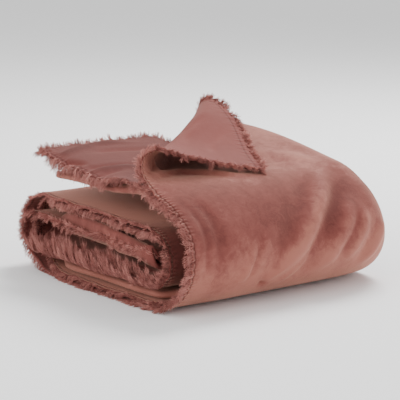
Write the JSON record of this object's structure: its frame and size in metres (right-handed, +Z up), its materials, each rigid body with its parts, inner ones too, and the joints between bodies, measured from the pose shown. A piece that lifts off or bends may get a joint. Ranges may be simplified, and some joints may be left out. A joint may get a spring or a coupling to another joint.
{
  "type": "folded throw blanket",
  "caption": "Fringed velvet throw folded lengthwise and wound into a flat, low roll, with its free corner turned back over the top.",
  "frame": {"origin": "middle of the footprint of the solids' box, on the surface that the roll lies on", "axes": "+X across the folded width from the hemmed front edges to the smooth far fold, +Y along the flat roll from the near bend to the far bend, +Z up"},
  "size_m": [0.373, 0.426, 0.2373],
  "materials": {
    "velvet": "stonewashed velvet pile on the face, smooth matte lining on the reverse",
    "fringe": "short frayed threads"
  },
  "bodies": {
    "root": {"throw": "velvet", "fringe_flap_front": "fringe", "fringe_front_outer": "fringe", "fringe_front_lower": "fringe", "fringe_flap_end": "fringe", "fringe_end_lower": "fringe"}
  },
  "joints": []
}
